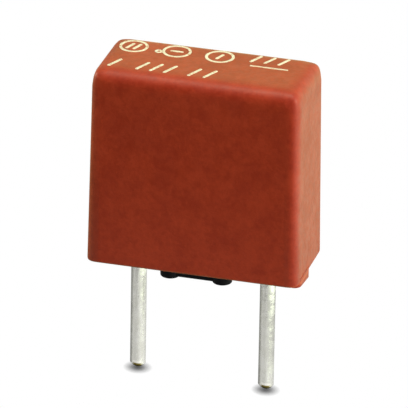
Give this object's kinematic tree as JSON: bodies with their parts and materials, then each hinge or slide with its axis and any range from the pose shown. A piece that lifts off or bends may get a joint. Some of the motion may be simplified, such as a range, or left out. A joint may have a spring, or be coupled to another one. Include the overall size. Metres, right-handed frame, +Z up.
{
  "type": "electrical fuse",
  "caption": "Small sealed fuse for a circuit board: a drafted red-brown cap over a black base with stand-off feet and round tinned leads in a row.",
  "frame": {"origin": "on the board plane that the feet stand on, midway between the axes of the two leads", "axes": "+Z up, away from the board, so the leads run along -Z; X along the row of leads, with the longer lead at +X; Y through the thickness, with the front at -Y"},
  "size_m": [0.0084, 0.0038, 0.0131],
  "materials": {
    "cap": "red-brown moulded plastic with a fine satin grain",
    "base": "black moulded plastic",
    "lead": "tin-plated, slightly clouded, bare metal at the cut ends",
    "wire": "bare drawn wire",
    "solder": "solidified solder, satin"
  },
  "bodies": {
    "root": {"cap": "cap", "base": "base", "lead_left": "lead", "lead_right": "lead", "fuse_wire": "wire", "solder_left": "solder", "solder_right": "solder"}
  },
  "joints": []
}
